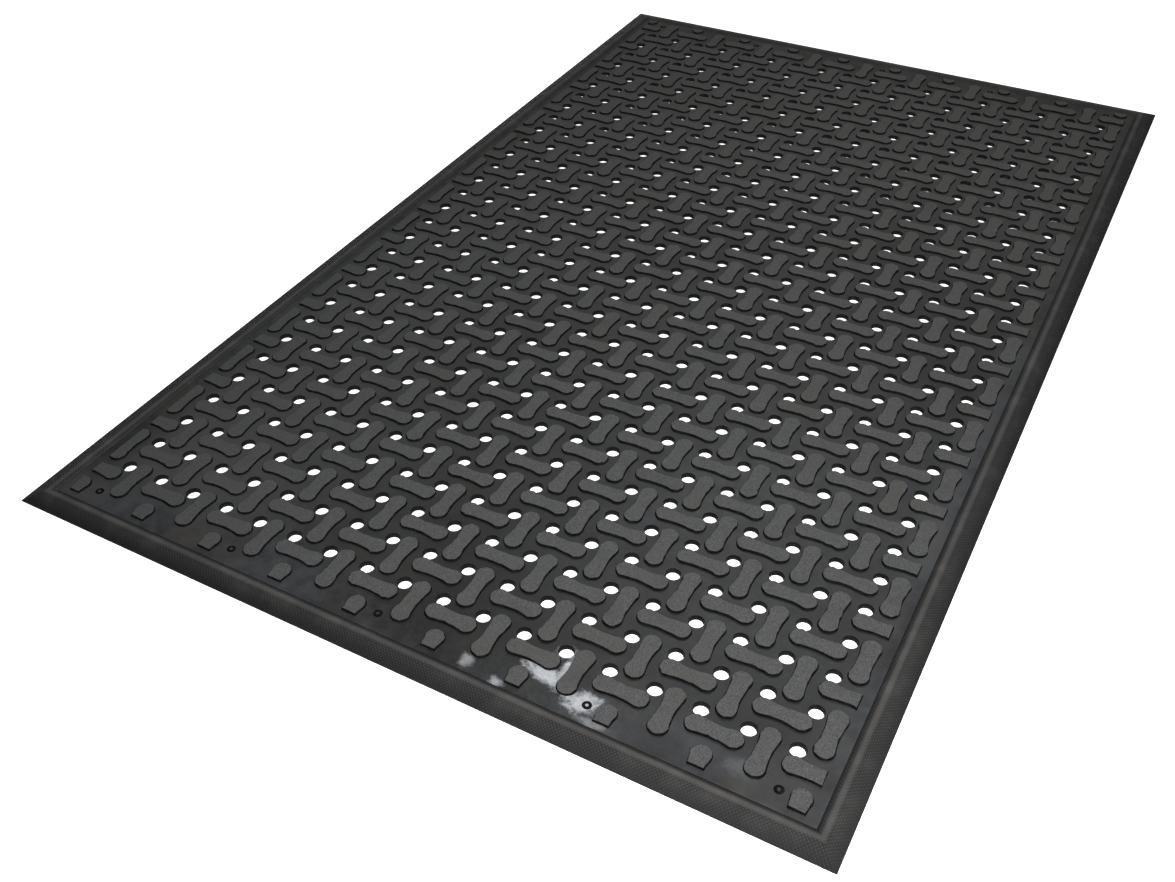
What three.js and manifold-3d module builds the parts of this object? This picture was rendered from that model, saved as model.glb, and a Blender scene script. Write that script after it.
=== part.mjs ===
// Rubber drainage floor mat, moulded in one piece. Millimetres, +Z up.
// The origin is on the floor under the middle of the mat, with the length along Y.
// From the outside in, the border is a ramp, a raised lip and a step down to the
// deck, and round drain holes go right through the deck on a square grid.

import * as THREE from 'three';
import { mergeGeometries, mergeVertices } from 'three/addons/utils/BufferGeometryUtils.js';
import Module from 'manifold-3d';

// Grid of drain holes
const HOLE_COLUMNS = 18;      // holes across the width
const HOLE_ROWS = 30;         // holes along the length
const HOLE_PITCH = 45;        // between the centres of neighbouring holes, both ways
const HOLE_DIAMETER = 15.4;   // of the round moulded hole
const HOLE_SIDES = 4;         // flat sides that stand for each round hole

// Plain deck around the grid, from the outer hole centres to the foot of the step
const SIDE_BAND = 40.7;       // along the long sides
const END_BAND = 65.7;        // along the short ends

// Border
const STEP_RUN = 0.8;         // how far the step leans out on its way up
const LIP_WIDTH = 10.5;       // flat top of the lip
const RAMP_WIDTH = 15.5;      // from the lip down to the outer edge

// Heights
const EDGE_HEIGHT = 1.6;      // upright outer edge, at the foot of the ramp
const DECK_THICKNESS = 5.5;   // floor to deck
const LIP_RISE = 3;           // deck to lip

const CUT_OVERRUN = 2;        // how far a hole's cutter passes both faces

// Sizes that follow
const lipHeight = DECK_THICKNESS + LIP_RISE;
const gridWidth = (HOLE_COLUMNS - 1) * HOLE_PITCH;
const gridLength = (HOLE_ROWS - 1) * HOLE_PITCH;
const deckWidth = gridWidth + 2 * SIDE_BAND;
const deckLength = gridLength + 2 * END_BAND;

/** A manifold-3d solid from a closed three.js geometry. */
function toSolid(wasm, geometry) {
  const bare = geometry.clone();
  bare.deleteAttribute('normal');
  bare.deleteAttribute('uv');
  const merged = mergeVertices(bare, 1e-5);
  return new wasm.Manifold(new wasm.Mesh({
    numProp: 3,
    vertProperties: new Float32Array(merged.attributes.position.array),
    triVerts: new Uint32Array(merged.index.array),
  }));
}

/** A three.js geometry from a manifold-3d solid. */
function toGeometry(solid) {
  const mesh = solid.getMesh();
  const geometry = new THREE.BufferGeometry();
  geometry.setAttribute('position', new THREE.BufferAttribute(mesh.vertProperties, 3));
  geometry.setIndex(new THREE.BufferAttribute(mesh.triVerts, 1));
  geometry.computeVertexNormals();
  return geometry;
}

/**
 * The mat without its holes: rectangles joined one above the other.
 * Each level is { out, z }: how far the rectangle stands out from the deck, and its height.
 */
function bodyGeometry(levels) {
  const points = [];
  const faces = [];
  for (const { out, z } of levels) {
    const x = deckWidth / 2 + out;
    const y = deckLength / 2 + out;
    points.push(-x, -y, z, x, -y, z, x, y, z, -x, y, z);
  }
  const quad = (a, b, c, d) => faces.push(a, b, c, a, c, d);
  for (let level = 0; level + 1 < levels.length; level++) {
    for (let corner = 0; corner < 4; corner++) {
      const low = 4 * level;
      const next = (corner + 1) % 4;
      quad(low + corner, low + next, low + 4 + next, low + 4 + corner);
    }
  }
  const top = 4 * (levels.length - 1);
  quad(3, 2, 1, 0);
  quad(top, top + 1, top + 2, top + 3);
  const geometry = new THREE.BufferGeometry();
  geometry.setAttribute('position', new THREE.Float32BufferAttribute(points, 3));
  geometry.setIndex(faces);
  return geometry;
}

/** Every hole's cutter: an upright prism with the cross-section area of the round hole. */
function holeCutters() {
  const sliceAngle = (2 * Math.PI) / HOLE_SIDES;
  const radius = (HOLE_DIAMETER / 2) * Math.sqrt(sliceAngle / Math.sin(sliceAngle));
  const height = DECK_THICKNESS + 2 * CUT_OVERRUN;
  const prism = new THREE.CylinderGeometry(radius, radius, height, HOLE_SIDES);
  prism.rotateX(Math.PI / 2);
  prism.rotateZ(sliceAngle / 2);
  prism.translate(0, 0, DECK_THICKNESS / 2);
  const cutters = [];
  for (let column = 0; column < HOLE_COLUMNS; column++) {
    for (let row = 0; row < HOLE_ROWS; row++) {
      const x = column * HOLE_PITCH - gridWidth / 2;
      const y = row * HOLE_PITCH - gridLength / 2;
      cutters.push(prism.clone().translate(x, y, 0));
    }
  }
  return mergeGeometries(cutters);
}

/** The outside of the mat, from the floor up the ramp, over the lip and down to the deck. */
function matLevels() {
  const lipInside = STEP_RUN;
  const lipOutside = lipInside + LIP_WIDTH;
  const edge = lipOutside + RAMP_WIDTH;
  return [
    { out: edge, z: 0 },
    { out: edge, z: EDGE_HEIGHT },
    { out: lipOutside, z: lipHeight },
    { out: lipInside, z: lipHeight },
    { out: 0, z: DECK_THICKNESS },
  ];
}

const wasm = await Module();
wasm.setup();

const body = toSolid(wasm, bodyGeometry(matLevels()));
const cutters = toSolid(wasm, holeCutters());

const rubber = new THREE.MeshStandardMaterial({ color: 0x2b2c2e, roughness: 0.62, metalness: 0 });
const mat = new THREE.Mesh(toGeometry(body.subtract(cutters)), rubber);
mat.name = 'mat';

const floorMat = new THREE.Group();
floorMat.add(mat);

export default floorMat;
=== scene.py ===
"""A moulded rubber drainage mat: treads, drain holes and a ramped border, on a pale floor."""

import logging
import math
import random
from dataclasses import dataclass, field
from enum import Enum

import bpy
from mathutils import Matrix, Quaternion, Vector
from mathutils.geometry import delaunay_2d_cdt

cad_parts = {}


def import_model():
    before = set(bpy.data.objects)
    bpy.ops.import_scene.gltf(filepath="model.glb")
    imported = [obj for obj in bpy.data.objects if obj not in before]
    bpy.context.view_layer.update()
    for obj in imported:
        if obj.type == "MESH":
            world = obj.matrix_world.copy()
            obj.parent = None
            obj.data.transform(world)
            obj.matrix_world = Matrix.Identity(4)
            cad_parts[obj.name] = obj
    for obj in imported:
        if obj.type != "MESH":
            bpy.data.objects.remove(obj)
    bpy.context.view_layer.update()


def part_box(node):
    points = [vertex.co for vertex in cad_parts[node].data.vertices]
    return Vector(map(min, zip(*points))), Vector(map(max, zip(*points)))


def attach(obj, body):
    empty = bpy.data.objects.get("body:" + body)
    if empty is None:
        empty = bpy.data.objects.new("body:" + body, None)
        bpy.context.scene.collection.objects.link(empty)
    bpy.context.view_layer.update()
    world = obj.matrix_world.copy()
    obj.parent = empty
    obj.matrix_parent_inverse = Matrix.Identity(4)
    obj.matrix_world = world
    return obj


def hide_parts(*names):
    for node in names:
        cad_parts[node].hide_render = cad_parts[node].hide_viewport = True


LOG = logging.getLogger("floor_mat")
MM = 0.001
SEED = 7

DECK_HEIGHT = 5.5 * MM  # from the floor up to the deck
CREST_HEIGHT = 8.5 * MM  # from the floor up to the treads' tops and the lip
MIX_SHARE, MIX_FIRST, MIX_SECOND = 0, 6, 7  # a Mix node's share and its two colours
SPECK_CORE = 0.6  # the part of a speck's radius that shows in full
MITRE_LIMIT = 0.5  # holds back sharp corners when an outline is drawn in
FILL_INSIDE = 1  # the kind of filling that keeps only what lies inside the rim
WELD = 1e-9  # points nearer than this are one point to the filling

Point = tuple[float, float]
Place = tuple[float, float, float]
Colour = tuple[float, float, float]
Band = tuple[float, float]  # where a smooth step is 0, and where it is 1


class Way(Enum):
    """Which way a tread's long axis lies."""

    ACROSS = 0
    ALONG = 1


class Skin(Enum):
    """The mat's surface finishes, in the order of its material slots."""

    TREAD = 0
    DECK = 1
    BORDER = 2
    WALL = 3


class Sock:
    """A node's output socket that takes part in arithmetic with sockets and numbers."""

    def __init__(self, recipe: "Recipe", link: bpy.types.NodeSocket) -> None:
        """Keeps the recipe that new nodes go to, and the socket."""
        self.recipe = recipe
        self.link = link

    def _math(self, operation: str, *values: "Sock | float") -> "Sock":
        """The value of a new Math node with this operation and these inputs, in order."""
        inputs = dict(enumerate(values))
        return self.recipe.node("ShaderNodeMath", {"operation": operation}, inputs)["Value"]

    def __add__(self, other: "Sock | float") -> "Sock":
        """self + other."""
        return self._math("ADD", self, other)

    def __radd__(self, other: float) -> "Sock":
        """other + self."""
        return self._math("ADD", other, self)

    def __sub__(self, other: "Sock | float") -> "Sock":
        """self - other."""
        return self._math("SUBTRACT", self, other)

    def __rsub__(self, other: float) -> "Sock":
        """other - self."""
        return self._math("SUBTRACT", other, self)

    def __mul__(self, other: "Sock | float") -> "Sock":
        """self * other."""
        return self._math("MULTIPLY", self, other)

    def __rmul__(self, other: float) -> "Sock":
        """other * self."""
        return self._math("MULTIPLY", other, self)

    def __abs__(self) -> "Sock":
        """The size of self without its sign."""
        return self._math("ABSOLUTE", self)

    def most(self, other: "Sock | float") -> "Sock":
        """The larger of self and other."""
        return self._math("MAXIMUM", self, other)

    def wave(self) -> "Sock":
        """A triangle wave of self that runs from 0 to 1 and back over each 2."""
        return self._math("PINGPONG", self, 1.0)

    def between(self, low: float, high: float) -> "Sock":
        """Self's way from low to high, smooth and held to 0 and 1.

        Args:
            low: where the result is 0.
            high: where the result is 1.

        Returns:
            The smooth step.
        """
        return self.recipe.node(
            "ShaderNodeMapRange",
            {"interpolation_type": "SMOOTHSTEP"},
            {"Value": self, "From Min": low, "From Max": high},
        )["Result"]


@dataclass(frozen=True)
class Cloud:
    """A pattern of noise.

    Its scale is in cycles to a metre and its detail in octaves. A higher rough makes the
    finer octaves stronger, and each seed gives another pattern.
    """

    scale: float
    detail: float = 3.0
    rough: float = 0.55
    seed: float = 0.0


class Recipe:
    """A material's node tree, with the few ways in which this mat's finishes build it."""

    def __init__(self, name: str) -> None:
        """Makes a material of this name with one Principled BSDF.

        Args:
            name: the material's name.
        """
        self.material = bpy.data.materials.new(name)
        self.material.use_nodes = True
        self.tree = self.material.node_tree
        self.shader = self.tree.nodes["Principled BSDF"]
        self.place = self.node("ShaderNodeTexCoord")["Object"]

    def feed(self, slot: bpy.types.NodeSocket, value: object) -> None:
        """Gives an input its socket, colour, vector or number.

        Args:
            slot: the input.
            value: what goes in. A plain colour gets its opacity here.
        """
        if isinstance(value, Sock):
            self.tree.links.new(value.link, slot)
        elif slot.type == "RGBA":
            slot.default_value = (*value, 1.0)
        else:
            slot.default_value = value

    def node(
        self,
        kind: str,
        settings: dict[str, object] | None = None,
        inputs: dict[str | int, object] | None = None,
    ) -> dict[str, Sock]:
        """Adds a node.

        Args:
            kind: the node's type.
            settings: its properties, set before its inputs.
            inputs: values or sockets for its inputs, by name or number.

        Returns:
            Its outputs by name.
        """
        node = self.tree.nodes.new(kind)
        for key, value in (settings or {}).items():
            setattr(node, key, value)
        for key, value in (inputs or {}).items():
            self.feed(node.inputs[key], value)
        return {out.name: Sock(self, out) for out in node.outputs if out.enabled}

    def axes(self) -> tuple[Sock, Sock, Sock]:
        """How far each place lies across the mat, along it and above the floor, in metres."""
        parts = self.node("ShaderNodeSeparateXYZ", {}, {0: self.place})
        return parts["X"], parts["Y"], parts["Z"]

    def noise(self, cloud: Cloud) -> Sock:
        """Cloudy noise.

        Args:
            cloud: its pattern.

        Returns:
            A value around 0.5.
        """
        offset = (cloud.seed, 2 * cloud.seed, 3 * cloud.seed)
        where = self.node(
            "ShaderNodeVectorMath", {"operation": "ADD"}, {0: self.place, 1: offset}
        )["Vector"]
        inputs = {
            "Vector": where,
            "Scale": cloud.scale,
            "Detail": cloud.detail,
            "Roughness": cloud.rough,
        }
        return self.node("ShaderNodeTexNoise", {}, inputs)["Fac"]

    def specks(self, scale: float, size: float) -> Sock:
        """Small round spots, one to a cell.

        Args:
            scale: cells to a metre.
            size: a spot's radius as a share of a cell.

        Returns:
            1 inside a spot and 0 outside.
        """
        far = self.node(
            "ShaderNodeTexVoronoi", {"feature": "F1"}, {"Vector": self.place, "Scale": scale}
        )["Distance"]
        return 1 - far.between(size * SPECK_CORE, size)

    def mix(self, share: Sock, first: Sock | Colour, second: Sock | Colour) -> Sock:
        """Blends two colours.

        Args:
            share: how much of the second colour shows.
            first: a colour or a socket.
            second: a colour or a socket.

        Returns:
            The blended colour.
        """
        inputs = {MIX_SHARE: share, MIX_FIRST: first, MIX_SECOND: second}
        return self.node("ShaderNodeMix", {"data_type": "RGBA"}, inputs)["Result"]

    def bump(self, height: Sock, depth: float, strength: float = 1.0) -> Sock:
        """Turns a height into a surface normal.

        Args:
            height: 0 to 1.
            depth: the height of 1, in metres.
            strength: the Bump node's strength.

        Returns:
            The normal.
        """
        return self.node(
            "ShaderNodeBump", {}, {"Strength": strength, "Distance": depth, "Height": height}
        )["Normal"]

    def set(self, **inputs: object) -> None:
        """Sets the shader's inputs; a name's underscores stand for spaces.

        Args:
            inputs: values or sockets.
        """
        for key, value in inputs.items():
            self.feed(self.shader.inputs[key.replace("_", " ")], value)


@dataclass(frozen=True)
class GritTread:
    """The fine grit of the treads' tops, a mid grey that catches the light.

    It turns browner towards the far end, and painted shade darkens it towards the left
    side. The far band and the left shade band are in metres from the mat's middle.
    """

    grey: Colour = (0.050, 0.051, 0.051)
    pale: Colour = (0.116, 0.118, 0.118)
    brown: Colour = (0.070, 0.067, 0.056)
    grit: Cloud = Cloud(1 / (0.9 * MM), detail=2.0, rough=0.7)
    grit_band: Band = (0.35, 0.70)
    cloud: Cloud = Cloud(22.0, seed=3.1)
    cloud_band: Band = (0.45, 0.3)
    cloud_share: float = 0.35
    tint: Cloud = Cloud(9.0, detail=2.0, seed=8.2)
    tint_band: Band = (0.5, 0.72)
    tint_share: float = 0.4
    far_band: Band = (-0.4, 0.6)
    far_share: float = 0.4
    left_shade_band: Band = (0.05, -0.4)
    left_shade_share: float = 0.5
    roughness: float = 0.62
    roughness_spread: float = 0.2
    depth: float = 0.28 * MM
    gloss: float = 0.25

    def material(self) -> bpy.types.Material:
        """Mixes the finish.

        Returns:
            The finished material.
        """
        mat = Recipe("tread_grit")
        grit = mat.noise(self.grit)
        across, along, _ = mat.axes()
        tint = mat.noise(self.tint).between(*self.tint_band) * self.tint_share
        far = along.between(*self.far_band) * self.far_share
        # painted shade: the tops turn darker towards the left side
        left = across.between(*self.left_shade_band) * self.left_shade_share
        cloud = mat.noise(self.cloud).between(*self.cloud_band) * self.cloud_share
        colour = mat.mix(grit.between(*self.grit_band), self.grey, self.pale)
        colour = mat.mix(tint + far, colour, self.brown)
        # painted shade: darker grey towards the left side
        colour = mat.mix(left, colour, self.grey)
        mat.set(
            Base_Color=mat.mix(cloud, colour, self.grey),
            Roughness=self.roughness + grit * self.roughness_spread,
            Normal=mat.bump(grit, self.depth),
            Specular_IOR_Level=self.gloss,
        )
        return mat.material


@dataclass(frozen=True)
class Smear:
    """An oval patch on the deck, in millimetres, turned in radians: its middle and its size."""

    x: float
    y: float
    width: float
    length: float
    turn: float = 0.0
    strength: float = 1.0


@dataclass(frozen=True)
class SmoothDeck:
    """The smooth skin of the deck: near black, a little glossy, mottled and dusty.

    Pale smears lie on it, in a darker patch at the near edge. Between the treads the deck
    is darkened at the near right by painted shade, and a lighter grey at the left and far
    end. The far band, and those across and along, are in metres from the mat's middle.
    """

    black: Colour = (0.022, 0.022, 0.023)
    blue: Colour = (0.048, 0.051, 0.055)
    brown: Colour = (0.050, 0.046, 0.036)
    pale_gaps: Colour = (0.062, 0.062, 0.061)
    painted_shade_dark: Colour = (0.008, 0.008, 0.007)
    dust: Colour = (0.15, 0.155, 0.155)
    pale_smear: Colour = (0.52, 0.54, 0.57)
    wide: Cloud = Cloud(7.0, detail=4.0, rough=0.6, seed=1.3)
    small: Cloud = Cloud(60.0, detail=4.0, rough=0.65, seed=4.4)
    wide_share: float = 0.7
    mottle_band: Band = (0.36, 0.62)
    tint: Cloud = Cloud(11.0, seed=9.7)
    tint_band: Band = (0.5, 0.68)
    tint_share: float = 0.5
    far_band: Band = (-0.4, 0.6)
    far_share: float = 0.4
    gaps_across: Band = (0.42, 0.37)
    gaps_along: Band = (0.70, 0.63)
    near_right_across: Band = (-0.4, 0.1)
    near_right_along: Band = (-0.1, 0.55)
    pale_gaps_share: float = 0.75
    painted_shade_share: float = 0.45
    painted_shade_spread: float = 0.4
    dust_scale: float = 210.0
    dust_size: float = 0.09
    dust_share: float = 0.5
    pale_smear_share: float = 0.85
    dark_patch_share: float = 0.8
    roughness: float = 0.36
    roughness_spread: float = 0.22
    pale_smear_polish: float = 0.06
    ripple: Cloud = Cloud(140.0, detail=2.0, seed=2.2)
    ripple_share: float = 0.8
    depth: float = 0.25 * MM
    bump_strength: float = 0.6
    gloss: float = 0.35
    ragged: Cloud = Cloud(95.0, detail=4.0, rough=0.7, seed=5.0)
    raggedness: float = 2.2
    smear_band: Band = (1.2, 0.35)
    broken: Cloud = Cloud(240.0, rough=0.6, seed=7.7)
    smear_base: float = 0.45
    smear_spread: float = 0.9
    smears: tuple[Smear, ...] = (
        Smear(152, -684, 50, 24, -0.25),
        Smear(170, -670, 18, 30, -0.2),
        Smear(198, -697, 40, 26, 0.25),
        Smear(82, -705, 16, 20, 0.3, 0.55),
        Smear(118, -714, 16, 12, strength=0.6),
        Smear(160, -654, 24, 16, strength=0.6),
        Smear(214, -713, 34, 9, strength=0.35),
        Smear(127, -672, 16, 8, 0.2, 0.4),
        Smear(348, -694, 36, 20, 0.1, 0.1),
    )
    dark_patch: tuple[Smear, ...] = (
        Smear(105, -690, 300, 90, strength=0.8),
        Smear(265, -705, 90, 40, strength=0.4),
    )

    def smear_mask(self, mat: Recipe, smears: tuple[Smear, ...]) -> Sock:
        """Where some smears lie, ragged at their edges.

        Args:
            mat: the material that it is built in.
            smears: the smears.

        Returns:
            0 outside the smears, and more the thicker they lie.
        """
        wander = (mat.noise(self.ragged) - 0.5) * self.raggedness
        total = None
        for smear in smears:
            local = mat.node(
                "ShaderNodeMapping",
                {"vector_type": "TEXTURE"},
                {
                    "Vector": mat.place,
                    "Location": (smear.x * MM, smear.y * MM, DECK_HEIGHT),
                    "Rotation": (0.0, 0.0, smear.turn),
                    "Scale": (smear.width * MM / 2, smear.length * MM / 2, 1.0),
                },
            )["Vector"]
            far = mat.node("ShaderNodeVectorMath", {"operation": "LENGTH"}, {0: local})["Value"]
            near = (far + wander).between(*self.smear_band) * smear.strength
            total = near if total is None else total.most(near)
        return total * (self.smear_base + mat.noise(self.broken) * self.smear_spread)

    def material(self) -> bpy.types.Material:
        """Mixes the finish.

        Returns:
            The finished material.
        """
        mat = Recipe("deck_smooth")
        across, along, _ = mat.axes()
        small = mat.noise(self.small)
        mottle = mat.noise(self.wide) * self.wide_share + small * (1 - self.wide_share)
        tint = mat.noise(self.tint).between(*self.tint_band) * self.tint_share
        far = along.between(*self.far_band) * self.far_share
        gaps = abs(across).between(*self.gaps_across) * abs(along).between(*self.gaps_along)
        # the near right of the tread field, where the deck between the treads takes painted
        # shade
        near_right = across.between(*self.near_right_across) * (1 - along.between(*self.near_right_along))
        # a lighter grey on the deck between the treads at the left and far end
        pale_gaps = (1 - near_right) * gaps * self.pale_gaps_share
        # painted shade: the deck between the treads darkened at the near right
        painted_shade_dark = gaps * (self.painted_shade_share + small * self.painted_shade_spread) * near_right
        # a darker patch on the deck at the near edge
        dark_patch = self.smear_mask(mat, self.dark_patch) * self.dark_patch_share
        dust = mat.specks(self.dust_scale, self.dust_size) * self.dust_share
        # pale smears on the deck
        pale_smear = self.smear_mask(mat, self.smears)
        ripple = mat.noise(self.ripple) * self.ripple_share + small * (1 - self.ripple_share)
        colour = mat.mix(mottle.between(*self.mottle_band), self.black, self.blue)
        colour = mat.mix(tint + far, colour, self.brown)
        colour = mat.mix(pale_gaps, colour, self.pale_gaps)
        # painted shade between the treads at the near right
        colour = mat.mix(painted_shade_dark, colour, self.painted_shade_dark)
        colour = mat.mix(dark_patch, colour, self.painted_shade_dark)
        colour = mat.mix(dust, colour, self.dust)
        mat.set(
            Base_Color=mat.mix(pale_smear * self.pale_smear_share, colour, self.pale_smear),
            Roughness=self.roughness + small * self.roughness_spread - pale_smear * self.pale_smear_polish,
            Normal=mat.bump(ripple, self.depth, self.bump_strength),
            Specular_IOR_Level=self.gloss,
        )
        return mat.material


@dataclass(frozen=True)
class KnurledBorder:
    """The border's fine diamond knurl, with worn patches, a painted crest highlight and painted
    shade down the ramp.
    """

    dark: Colour = (0.017, 0.017, 0.017)
    pale: Colour = (0.050, 0.050, 0.050)
    worn_and_highlight: Colour = (0.092, 0.089, 0.085)
    black: Colour = (0.008, 0.008, 0.008)
    pitch: float = 2.6 * MM
    depth: float = 0.3 * MM
    gloss: float = 0.25
    foot: float = 1.5 * MM
    ramp_shade_share: float = 0.75
    crest_low: float = 7.6 * MM
    crest_high: float = CREST_HEIGHT
    crest_highlight_base: float = 0.35
    crest_highlight_spread: float = 0.4
    crest_polish: float = 0.6
    wear_and_highlight_noise: Cloud = Cloud(35.0, seed=6.6)
    wear_band: Band = (0.45, 0.75)
    wear_share: float = 0.2
    fine: Cloud = Cloud(900.0, detail=2.0, seed=1.9)
    fine_height: float = 0.25
    stud_share: float = 0.7
    stud_band: Band = (0.2, 0.8)
    roughness: float = 0.55
    roughness_spread: float = 0.2

    def material(self) -> bpy.types.Material:
        """Mixes the finish.

        Returns:
            The finished material.
        """
        mat = Recipe("border_knurl")
        across, along, up = mat.axes()
        turn = math.sqrt(2) / self.pitch
        stud = ((across + along) * turn).wave() * ((across - along) * turn).wave()
        crest = up.between(self.crest_low, self.crest_high)
        wear_and_highlight_noise = mat.noise(self.wear_and_highlight_noise)
        fine = mat.noise(self.fine)
        knurl = stud * self.stud_share + fine * (1 - self.stud_share)
        patches = wear_and_highlight_noise.between(*self.wear_band) * self.wear_share
        # painted highlight: the lip's crest lighter, mixed into the same colour as the worn
        # patches
        painted_highlight = crest * (self.crest_highlight_base + wear_and_highlight_noise * self.crest_highlight_spread)
        colour = mat.mix(knurl.between(*self.stud_band), self.dark, self.pale)
        colour = mat.mix(patches + painted_highlight, colour, self.worn_and_highlight)
        mat.set(
            # painted shade: the ramp turns darker towards its foot
            Base_Color=mat.mix(
                up.between(self.crest_low, self.foot) * self.ramp_shade_share, colour, self.black
            ),
            Roughness=self.roughness + fine * self.roughness_spread,
            Normal=mat.bump(
                stud * (1 - crest * self.crest_polish) + fine * self.fine_height, self.depth
            ),
            Specular_IOR_Level=self.gloss,
        )
        return mat.material


@dataclass(frozen=True)
class BlackWallAndShade:
    """Plain black rubber of the treads' walls, the holes and the underside, partly painted
    shade.
    """

    black: Colour = (0.003, 0.003, 0.003)
    grey: Colour = (0.010, 0.010, 0.011)
    patch: Cloud = Cloud(160.0)
    patch_band: Band = (0.4, 0.7)
    roughness: float = 0.7
    roughness_spread: float = 0.15
    depth: float = 0.15 * MM
    gloss: float = 0.12

    def material(self) -> bpy.types.Material:
        """Mixes the finish.

        Returns:
            The finished material.
        """
        mat = Recipe("rubber_wall_and_shade")
        patch = mat.noise(self.patch)
        mat.set(
            # partly the smooth rubber's own black and partly painted shade, kept near black so
            # the walls stay dark where the lamps reach them
            Base_Color=mat.mix(patch.between(*self.patch_band), self.black, self.grey),
            Roughness=self.roughness + patch * self.roughness_spread,
            Normal=mat.bump(patch, self.depth),
            Specular_IOR_Level=self.gloss,
        )
        return mat.material


@dataclass(frozen=True)
class PaleFloor:
    """The plain white floor under the mat, with a faint glow of its own."""

    white: Colour = (0.9, 0.9, 0.9)
    off_white: Colour = (0.88, 0.88, 0.88)
    glow: Colour = (1.0, 1.0, 1.0)
    off_glow: Colour = (0.99, 0.99, 0.99)
    glow_strength: float = 0.85
    faint: Cloud = Cloud(3.0, detail=2.0)
    roughness: float = 0.9

    def material(self) -> bpy.types.Material:
        """Mixes the finish.

        Returns:
            The finished material.
        """
        mat = Recipe("pale_floor")
        faint = mat.noise(self.faint)
        mat.set(
            Base_Color=mat.mix(faint, self.white, self.off_white),
            Emission_Color=mat.mix(faint, self.glow, self.off_glow),
            Emission_Strength=self.glow_strength,
            Roughness=self.roughness,
        )
        return mat.material


@dataclass
class Shell:
    """A mesh in the making: points, and faces that share them."""

    points: list[Vector] = field(default_factory=list)
    faces: list[tuple[int, ...]] = field(default_factory=list)
    skins: list[int] = field(default_factory=list)

    def ring(self, outline: list[Point], z: float) -> list[int]:
        """Adds a closed level row of points.

        Args:
            outline: its points in plan, counter-clockwise.
            z: its height.

        Returns:
            The new points' numbers.
        """
        start = len(self.points)
        self.points += [Vector((x, y, z)) for x, y in outline]
        return list(range(start, len(self.points)))

    def face(self, corners: tuple[int, ...], skin: Skin) -> None:
        """Adds a face.

        Args:
            corners: its points' numbers, counter-clockwise from outside.
            skin: its finish.
        """
        self.faces.append(corners)
        self.skins.append(skin.value)

    def band(self, low: list[int], high: list[int], skin: Skin) -> None:
        """Joins two rings of as many points, low to high, facing away from their middle.

        Args:
            low: the first ring.
            high: the second ring.
            skin: the band's finish.
        """
        count = len(low)
        for k in range(count):
            n = (k + 1) % count
            self.face((low[k], low[n], high[n], high[k]), skin)

    def plane(self, rim: list[int], gaps: list[list[int]], skin: Skin, up: bool) -> None:
        """Fills a level rim around its gaps.

        Args:
            rim: the outer ring.
            gaps: the rings that stay open.
            skin: the plane's finish.
            up: True if it faces up.
        """
        rings = [rim] + gaps
        numbers = [n for ring in rings for n in ring]
        loops = []
        start = 0
        for ring in rings:
            loops.append(list(range(start, start + len(ring))))
            start += len(ring)
        flat = [Vector(self.points[n][:2]) for n in numbers]
        _, _, faces, sources, _, owners = delaunay_2d_cdt(flat, [], loops, FILL_INSIDE, WELD)
        for corners, loops_around in zip(faces, owners):
            if list(loops_around) == [0]:
                ids = [numbers[sources[corner][0]] for corner in corners]
                self.face(tuple(ids if up else reversed(ids)), skin)

    def build(
        self, name: str, materials: list[bpy.types.Material], crease: float
    ) -> bpy.types.Object:
        """Makes the object.

        Args:
            name: the object's name.
            materials: its materials, in the order of Skin.
            crease: faces that meet at more than this angle, in degrees, keep a sharp edge.

        Returns:
            The object, linked into the scene.
        """
        mesh = bpy.data.meshes.new(name)
        mesh.from_pydata(self.points, [], self.faces)
        for material in materials:
            mesh.materials.append(material)
        mesh.polygons.foreach_set("material_index", self.skins)
        mesh.polygons.foreach_set("use_smooth", [True] * len(mesh.polygons))
        mesh.set_sharp_from_angle(angle=math.radians(crease))
        mesh.update()
        piece = bpy.data.objects.new(name, mesh)
        bpy.context.scene.collection.objects.link(piece)
        return piece


@dataclass
class Tread:
    """One dog-bone tread: two round ends and a narrower waist."""

    length: float = 54.5 * MM
    end: float = 18.8 * MM
    waist: float = 14.6 * MM
    end_steps: int = 9
    side_steps: int = 7

    def outline(self) -> list[Point]:
        """Draws its closed outline around (0, 0), with its long axis along X.

        Returns:
            The outline's points, counter-clockwise.
        """
        radius = self.end / 2
        reach = self.length / 2 - radius
        half_waist = self.waist / 2
        points: list[Point] = []
        for side in (1, -1):
            for k in range(self.end_steps + 1):
                turn = math.pi * (k / self.end_steps - 0.5)
                x, y = reach + radius * math.cos(turn), radius * math.sin(turn)
                points.append((side * x, side * y))
            for k in range(1, self.side_steps):
                share = 1 - 2 * k / self.side_steps
                x, y = reach * share, half_waist + (radius - half_waist) * share**2
                points.append((side * x, side * y))
        return points


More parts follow.
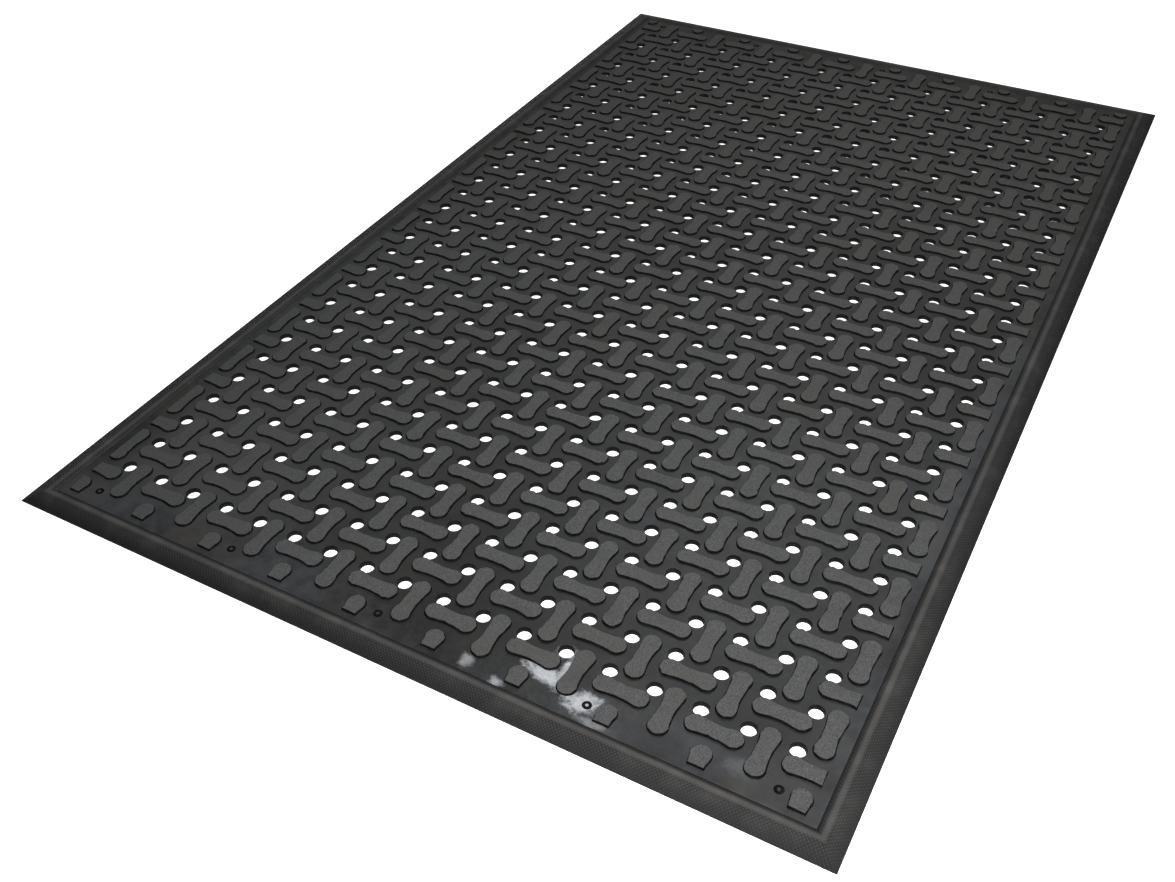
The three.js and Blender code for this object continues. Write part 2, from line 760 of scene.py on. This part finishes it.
@dataclass
class RubberMat:
    """The whole mat as one moulded skin.

    The sections of rims, lips and ring marks are rows of points, each with its own unit:
    hole_rim in rim, lip_outside and lip_inside in lip_curve outwards and millimetres down,
    and pip_section in pip_radius and millimetres up, with the finish inwards from there.
    """

    columns: int = 18
    rows: int = 30
    pitch: float = 45 * MM
    hole_radius: float = 7.7 * MM
    hole_steps: int = 16
    hole_draft: float = 0.55 * MM
    hole_rim: tuple[Point, ...] = ((1.0, 0.0), (0.3, 0.7), (0.0, 2.0))
    rim: float = 0.3 * MM
    deck: float = DECK_HEIGHT
    tread_top: float = CREST_HEIGHT
    tread_shift: Point = (-2.7 * MM, 4.6 * MM)
    tread_edge: float = 0.4 * MM
    tread_draft: float = 0.8 * MM
    hole_margin: float = 0.25 * MM
    tread_waver: float = 0.3 * MM
    least_tread: float = 5 * MM
    field_half: Point = (412 * MM, 710 * MM)
    step_run: float = 0.8 * MM
    step_foot: float = 0.1 * MM
    lip_width: float = 10.5 * MM
    lip_curve: float = 1.1 * MM
    lip_outside: tuple[Point, ...] = ((0.0, 0.95), (-2.0, 0.35), (-4.0, 0.0))
    lip_inside: tuple[Point, ...] = ((4.0, 0.2), (2.0, 1.0), (0.6, 2.0))
    ramp_width: float = 15.5 * MM
    ramp_reach: float = 2.0
    ramp_sag: float = 0.6 * MM
    edge_height: float = 1.6 * MM
    edge_in: float = 0.5 * MM
    edge_down: float = 0.4 * MM
    groove_width: float = 0.5 * MM
    groove_depth: float = 0.2 * MM
    pip_radius: float = 4.75 * MM
    pip_steps: int = 16
    pip_section: tuple[tuple[float, float, Skin], ...] = (
        # the sunk ring takes the near-black wall finish, which is partly painted shade
        (1.0, 0.0, Skin.WALL),
        (0.92, -1.2, Skin.WALL),
        (0.62, -1.2, Skin.WALL),
        (0.52, -0.1, Skin.WALL),
        (0.34, 0.0, Skin.DECK),
        (0.2, -0.4, Skin.DECK),
    )
    near_pips: tuple[int, ...] = (0, 4, 8, 13, 17)
    far_pips: tuple[int, ...] = (0, 4, 9, 13, 17)
    crease: float = 38.0
    tread: Tread = field(default_factory=Tread)

    def node(self, column: float, row: float) -> Point:
        """The grid's point at this column and row, counted from the near left hole.

        Args:
            column: holes across.
            row: holes along.

        Returns:
            Its place in plan.
        """
        x = (column - (self.columns - 1) / 2) * self.pitch
        y = (row - (self.rows - 1) / 2) * self.pitch
        return x, y

    @staticmethod
    def circle(centre: Point, radius: float, steps: int) -> list[Point]:
        """A closed circle of points, counter-clockwise.

        Args:
            centre: its middle.
            radius: its radius.
            steps: how many points.

        Returns:
            The points.
        """
        x, y = centre
        turns = [2 * math.pi * (k + 0.5) / steps for k in range(steps)]
        return [(x + radius * math.cos(t), y + radius * math.sin(t)) for t in turns]

    def clip(self, outline: list[Point]) -> list[Point]:
        """Cuts an outline square at the edges of the tread field.

        Args:
            outline: a closed outline.

        Returns:
            What lies inside the field.
        """
        for axis in (0, 1):
            limit = self.field_half[axis]
            for side in (1, -1):
                kept: list[Point] = []
                for k, here in enumerate(outline):
                    last = outline[k - 1]
                    a, b = limit - side * last[axis], limit - side * here[axis]
                    if (a >= 0) != (b >= 0):
                        share = a / (a - b)
                        kept.append(tuple(p + (q - p) * share for p, q in zip(last, here)))
                    if b >= 0:
                        kept.append(here)
                outline = kept
        return outline

    def tread_outlines(self) -> list[list[Point]]:
        """Lays out the treads, which turn from one to the next.

        Returns:
            Every tread's outline on the deck, cut where the field ends.
        """
        bone = self.tread.outline()
        shift_x, shift_y = self.tread_shift
        outlines = []
        for column in range(-1, self.columns):
            for row in range(-2, self.rows + 1):
                way = Way.ACROSS if (column + row) % 2 == 0 else Way.ALONG
                past_end = row in (-2, self.rows)
                if past_end and way is Way.ACROSS:
                    continue
                x, y = self.node(column + 0.5, row + 0.5)
                x, y = x + shift_x, y + shift_y
                turned = [(-v, u) if way is Way.ALONG else (u, v) for u, v in bone]
                outline = self.clip([(x + u, y + v) for u, v in turned])
                if not outline:
                    continue
                spans = [max(side) - min(side) for side in zip(*outline)]
                if min(spans) > self.least_tread:
                    outlines.append(outline)
        return outlines

    @staticmethod
    def inset(outline: list[Point], depth: float) -> list[Point]:
        """Draws an outline in by the same amount all round.

        Args:
            outline: a closed outline, counter-clockwise.
            depth: how far its sides move in; less than 0 moves them out.

        Returns:
            The new outline, point for point.
        """
        moved = []
        count = len(outline)
        for k in range(count):
            here = Vector(outline[k])
            before = (here - Vector(outline[k - 1])).normalized()
            after = (Vector(outline[(k + 1) % count]) - here).normalized()
            first, second = Vector((-before.y, before.x)), Vector((-after.y, after.x))
            middle = (first + second).normalized()
            moved.append(tuple(here + middle * (depth / max(middle.dot(first), MITRE_LIMIT))))
        return moved

    def clear_of_holes(self, outline: list[Point]) -> list[Point]:
        """Moves an outline's points off the rims of the drain holes.

        Args:
            outline: a closed outline on the deck.

        Returns:
            The outline, with a narrow strip of deck between it and each hole.
        """
        keep = self.hole_radius + self.rim + self.hole_margin
        corner = Vector(self.node(0, 0))
        moved = []
        for place in outline:
            point = Vector(place)
            cell = (point - corner) / self.pitch
            hole = Vector(self.node(round(cell.x), round(cell.y)))
            gap = point - hole
            moved.append(tuple(hole + gap * max(1.0, keep / gap.length)))
        return moved

    def add_treads(self, shell: Shell) -> list[list[int]]:
        """Raises the treads.

        Args:
            shell: the mesh that they join.

        Returns:
            Their rings on the deck.
        """
        draw = random.Random(SEED)
        feet = []
        for outline in self.tread_outlines():
            wavered = [
                (x + draw.gauss(0, self.tread_waver), y + draw.gauss(0, self.tread_waver))
                for x, y in outline
            ]
            spread = self.clear_of_holes(self.inset(outline, -self.tread_draft))
            foot = shell.ring(spread, self.deck)
            shoulder = shell.ring(wavered, self.tread_top - self.tread_edge)
            crown = shell.ring(self.inset(wavered, self.tread_edge), self.tread_top)
            shell.band(foot, shoulder, Skin.WALL)
            shell.band(shoulder, crown, Skin.TREAD)
            shell.face(tuple(crown), Skin.TREAD)
            feet.append(foot)
        return feet

    def add_holes(self, shell: Shell) -> tuple[list[list[int]], list[list[int]]]:
        """Sinks the drain holes.

        Args:
            shell: the mesh that they join.

        Returns:
            Their rings on the deck, and on the underside.
        """
        levels = [
            (self.hole_radius + self.rim * out, self.deck - self.rim * down)
            for out, down in self.hole_rim
        ]
        levels.append((self.hole_radius - self.hole_draft, 0.0))
        tops, bottoms = [], []
        for column in range(self.columns):
            for row in range(self.rows):
                centre = self.node(column, row)
                rings = [
                    shell.ring(self.circle(centre, radius, self.hole_steps), z)
                    for radius, z in levels
                ]
                for high, low in zip(rings, rings[1:]):
                    shell.band(high, low, Skin.WALL)
                tops.append(rings[0])
                bottoms.append(rings[-1])
        return tops, bottoms

    def add_pips(self, shell: Shell) -> list[list[int]]:
        """Moulds the small round ejector marks at the two ends.

        Args:
            shell: the mesh that they join.

        Returns:
            Their rings on the deck.
        """
        rims = []
        for row, columns in ((-1, self.near_pips), (self.rows, self.far_pips)):
            for column in columns:
                centre = self.node(column, row)
                rings = []
                for share, rise, _ in self.pip_section:
                    outline = self.circle(centre, self.pip_radius * share, self.pip_steps)
                    rings.append(shell.ring(outline, self.deck + rise * MM))
                for outer, inner, (_, _, skin) in zip(rings, rings[1:], self.pip_section):
                    shell.band(outer, inner, skin)
                shell.face(tuple(rings[-1]), Skin.DECK)
                rims.append(rings[0])
        return rims

    def border_levels(self) -> list[tuple[float, float, Skin]]:
        """The border's section, from the underside out, up the ramp and in to the deck.

        Returns:
            How far each level stands out from the deck's edge, its height, and the finish
            above it.
        """
        inner = self.step_run
        outer = inner + self.lip_width
        edge = outer + self.ramp_width
        top = self.tread_top
        curve = self.lip_curve
        slope = (top - self.edge_height) / self.ramp_width
        reach = self.ramp_reach * curve
        outline = [
            (edge, self.edge_height - self.edge_down),
            (edge - self.edge_in, self.edge_height),
            (outer + reach, top - reach * slope - self.ramp_sag),
            *((outer + out * curve, top - down * MM) for out, down in self.lip_outside),
            *((inner + out * curve, top - down * MM) for out, down in self.lip_inside),
            (inner / 2, self.deck + self.step_foot),
        ]
        return [
            (edge, 0.0, Skin.WALL),
            *((out, z, Skin.BORDER) for out, z in outline),
            # the groove at the deck's edge takes the near-black wall finish: a dark line that is
            # partly painted shade
            (0.0, self.deck - self.groove_depth, Skin.WALL),
            (-self.groove_width, self.deck, Skin.DECK),
        ]

    def add_border(self, shell: Shell) -> tuple[list[int], list[int]]:
        """Sweeps the border round the mat with mitred corners.

        Args:
            shell: the mesh that it joins.

        Returns:
            The underside's outer ring, and the ring round the deck.
        """
        low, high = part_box("mat")
        half_x, half_y = (high[0] - low[0]) / 2, (high[1] - low[1]) / 2
        levels = self.border_levels()
        edge = levels[0][0]
        rings = []
        for out, z, _ in levels:
            x, y = half_x - edge + out, half_y - edge + out
            rings.append(shell.ring([(-x, -y), (x, -y), (x, y), (-x, y)], z))
        for below, above, (_, _, skin) in zip(rings, rings[1:], levels):
            shell.band(below, above, skin)
        return rings[0], rings[-1]

    def build(self) -> bpy.types.Object:
        """Makes the mat.

        Returns:
            The one piece that stands for the moulded mat.
        """
        shell = Shell()
        base, deck_edge = self.add_border(shell)
        feet = self.add_treads(shell)
        tops, bottoms = self.add_holes(shell)
        pips = self.add_pips(shell)
        shell.plane(deck_edge, feet + tops + pips, Skin.DECK, up=True)
        shell.plane(base, bottoms, Skin.WALL, up=False)
        finishes = (GritTread(), SmoothDeck(), KnurledBorder(), BlackWallAndShade())
        materials = [finish.material() for finish in finishes]
        piece = shell.build("moulded_mat", materials, self.crease)
        triangles = sum(len(face) - 2 for face in shell.faces)
        LOG.info(
            "moulded_mat: %d treads, %d holes, %d triangles", len(feet), len(tops), triangles
        )
        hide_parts("mat")
        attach(piece, "root")
        return piece


@dataclass(frozen=True)
class Softbox:
    """A soft square light that looks at the middle of the mat, in watts and metres."""

    name: str
    place: Place
    power: float
    size: float
    tint: Colour

    def hang(self) -> None:
        """Puts the light in its place."""
        data = bpy.data.lights.new(self.name, "AREA")
        data.energy, data.size, data.color = self.power, self.size, self.tint
        light = bpy.data.objects.new(self.name, data)
        light.location = self.place
        light.rotation_mode = "QUATERNION"
        light.rotation_quaternion = Vector(self.place).to_track_quat("Z", "Y")
        bpy.context.scene.collection.objects.link(light)


@dataclass(frozen=True)
class Studio:
    """The pale floor, the soft lights and the camera, with its angles in degrees."""

    image_width: int = 1175
    image_height: int = 882
    focal_px: float = 1243.0
    centre_px: Point = (549.9, 442.0)
    sensor_mm: float = 36.0
    clip_end: float = 50.0
    eye: Place = (0.5185, -1.3028, 0.8963)
    azimuth: float = 29.94
    elevation: float = 40.57
    roll: float = -1.083
    floor_half: float = 8.0
    floor_drop: float = 0.2 * MM
    sky_tint: Colour = (0.95, 0.97, 1.0)
    sky_strength: float = 0.10
    softboxes: tuple[Softbox, ...] = (
        Softbox("near_softbox", (0.7, -1.15, 1.15), 26.0, 0.7, (1.0, 0.99, 0.98)),
        Softbox("back_softbox", (-0.2, 0.95, 1.6), 9.5, 0.7, (0.95, 0.97, 1.0)),
    )

    def add_camera(self) -> None:
        """Puts the camera where the photograph was taken from."""
        data = bpy.data.cameras.new("camera")
        data.sensor_width = self.sensor_mm
        data.lens = self.focal_px / self.image_width * self.sensor_mm
        data.shift_x = (self.image_width / 2 - self.centre_px[0]) / self.image_width
        data.shift_y = (self.centre_px[1] - self.image_height / 2) / self.image_width
        data.clip_end = self.clip_end
        camera = bpy.data.objects.new("camera", data)
        turn, rise = math.radians(self.azimuth), math.radians(self.elevation)
        level = math.cos(rise)
        back = Vector((math.sin(turn) * level, -math.cos(turn) * level, math.sin(rise)))
        upright = (-back).to_track_quat("-Z", "Y")
        camera.rotation_mode = "QUATERNION"
        camera.rotation_quaternion = upright @ Quaternion((0, 0, 1), math.radians(self.roll))
        camera.location = self.eye
        bpy.context.scene.collection.objects.link(camera)
        bpy.context.scene.camera = camera

    def add_floor(self) -> None:
        """Lays the floor just under the mat."""
        h = self.floor_half
        mesh = bpy.data.meshes.new("floor")
        mesh.from_pydata([(-h, -h, 0), (h, -h, 0), (h, h, 0), (-h, h, 0)], [], [(0, 1, 2, 3)])
        mesh.materials.append(PaleFloor().material())
        floor = bpy.data.objects.new("floor", mesh)
        floor.location.z = -self.floor_drop
        bpy.context.scene.collection.objects.link(floor)

    def add_sky(self) -> None:
        """Fills the room with even, slightly cool light."""
        world = bpy.data.worlds.new("room")
        world.use_nodes = True
        background = world.node_tree.nodes["Background"]
        background.inputs["Color"].default_value = (*self.sky_tint, 1.0)
        background.inputs["Strength"].default_value = self.sky_strength
        bpy.context.scene.world = world

    def build(self) -> None:
        """Sets the scene."""
        self.add_camera()
        self.add_floor()
        self.add_sky()
        for softbox in self.softboxes:
            softbox.hang()
        view = bpy.context.scene.view_settings
        view.view_transform = "Standard"
        view.look = "None"


def main() -> None:
    """Builds the room and the mat."""
    logging.basicConfig(level=logging.INFO, format="%(name)s %(message)s")
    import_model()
    Studio().build()
    RubberMat().build()


if __name__ == "__main__":
    main()
